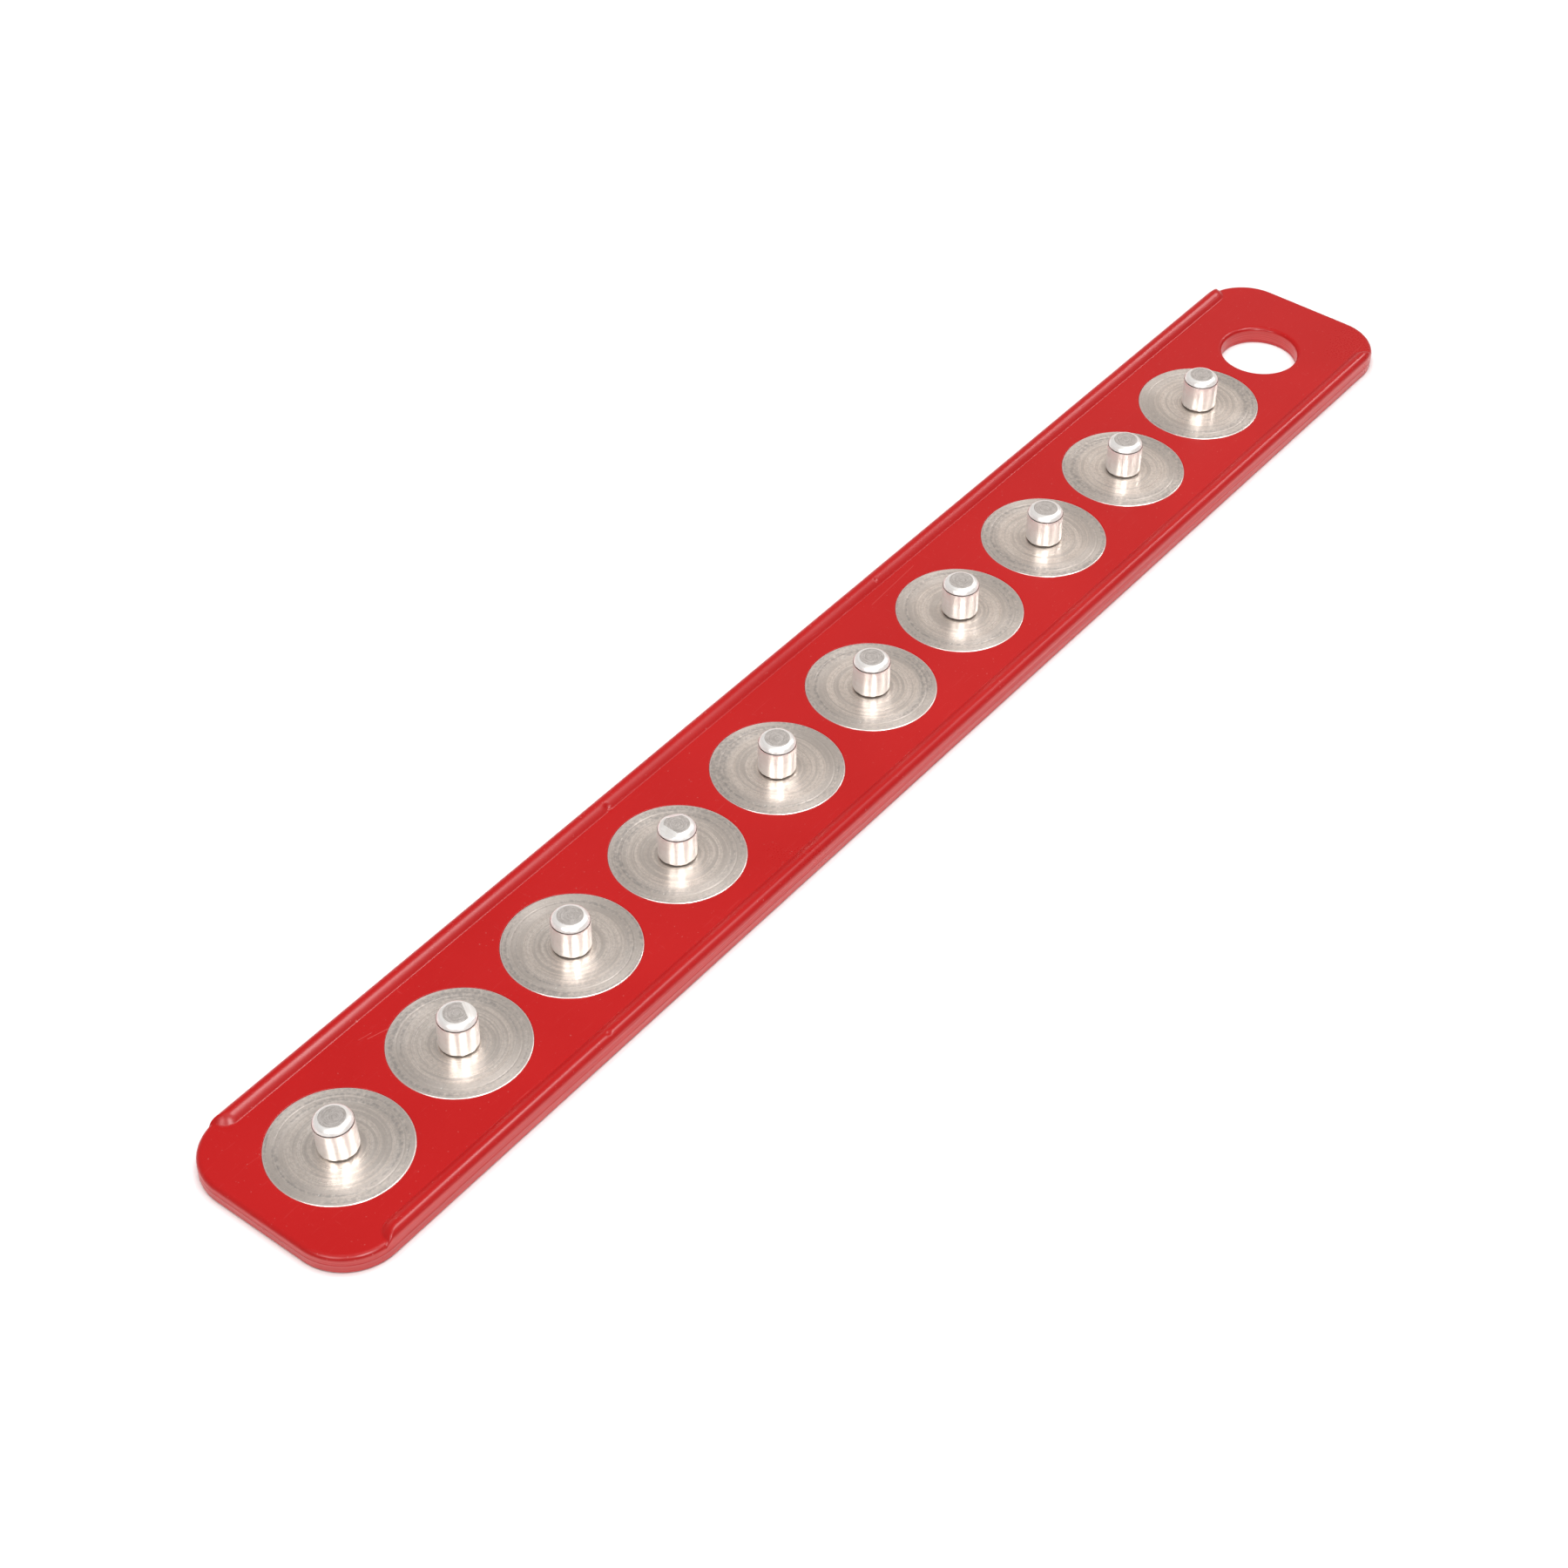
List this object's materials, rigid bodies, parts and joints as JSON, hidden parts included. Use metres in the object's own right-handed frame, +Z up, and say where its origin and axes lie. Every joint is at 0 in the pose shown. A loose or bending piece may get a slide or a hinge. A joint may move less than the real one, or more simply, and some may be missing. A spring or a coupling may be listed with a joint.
{
  "type": "post strip",
  "caption": "Flat moulded strip with a rib along each long edge and a hang hole at one end, carrying a row of flush turned discs that each hold a short standing post.",
  "frame": {"origin": "centre of the strip's outline, on its underside", "axes": "+X along the strip from its plain end to the hang-hole end, +Y across it, +Z up along the posts"},
  "size_m": [0.2852, 0.0356, 0.0098],
  "materials": {
    "strip_plastic": "glossy red moulded plastic, fine handling scratches",
    "disc_aluminium": "lathe-faced bare aluminium, fine concentric tool marks",
    "post_aluminium": "bright turned bare aluminium"
  },
  "bodies": {
    "root": {"carrier_strip": "strip_plastic", "rib_left": "strip_plastic", "rib_right": "strip_plastic", "station_disc_01": "disc_aluminium", "station_disc_02": "disc_aluminium", "station_disc_03": "disc_aluminium", "station_disc_04": "disc_aluminium", "station_disc_05": "disc_aluminium", "station_disc_06": "disc_aluminium", "station_disc_07": "disc_aluminium", "station_disc_08": "disc_aluminium", "station_disc_09": "disc_aluminium", "station_disc_10": "disc_aluminium", "station_post_01": "post_aluminium", "station_post_02": "post_aluminium", "station_post_03": "post_aluminium", "station_post_04": "post_aluminium", "station_post_05": "post_aluminium", "station_post_06": "post_aluminium", "station_post_07": "post_aluminium", "station_post_08": "post_aluminium", "station_post_09": "post_aluminium", "station_post_10": "post_aluminium"}
  },
  "joints": []
}
